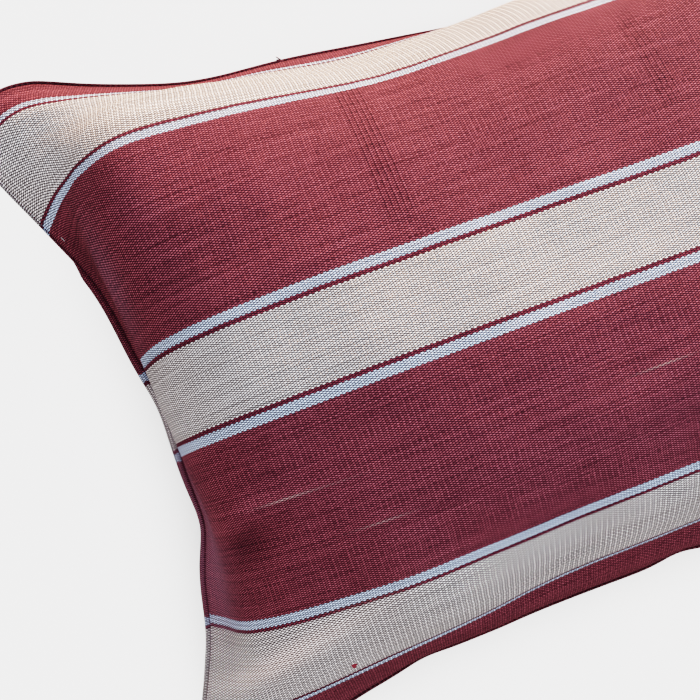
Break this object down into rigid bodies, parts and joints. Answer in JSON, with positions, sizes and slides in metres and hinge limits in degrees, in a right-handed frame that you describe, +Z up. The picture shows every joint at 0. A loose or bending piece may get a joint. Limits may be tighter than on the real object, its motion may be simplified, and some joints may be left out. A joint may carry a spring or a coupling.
{
  "type": "lumbar pillow",
  "caption": "Filled rectangular lumbar pillow in striped hand-woven cloth, with a crowned face, drawn-in sides, corner ears and a plain knife-edge seam.",
  "frame": {"origin": "middle of the pillow's outline, on the plane that it rests on", "axes": "+X along the stripes and the long seams, with the pictured end at -X; +Y across the stripes; +Z up out of the front panel"},
  "size_m": [0.5992, 0.3976, 0.1609],
  "materials": {
    "striped_cloth": "matt hand-woven cotton, burgundy with cream, pale blue and dark red stripes along the length"
  },
  "bodies": {
    "root": {"filled_cover": "striped_cloth"}
  },
  "joints": []
}
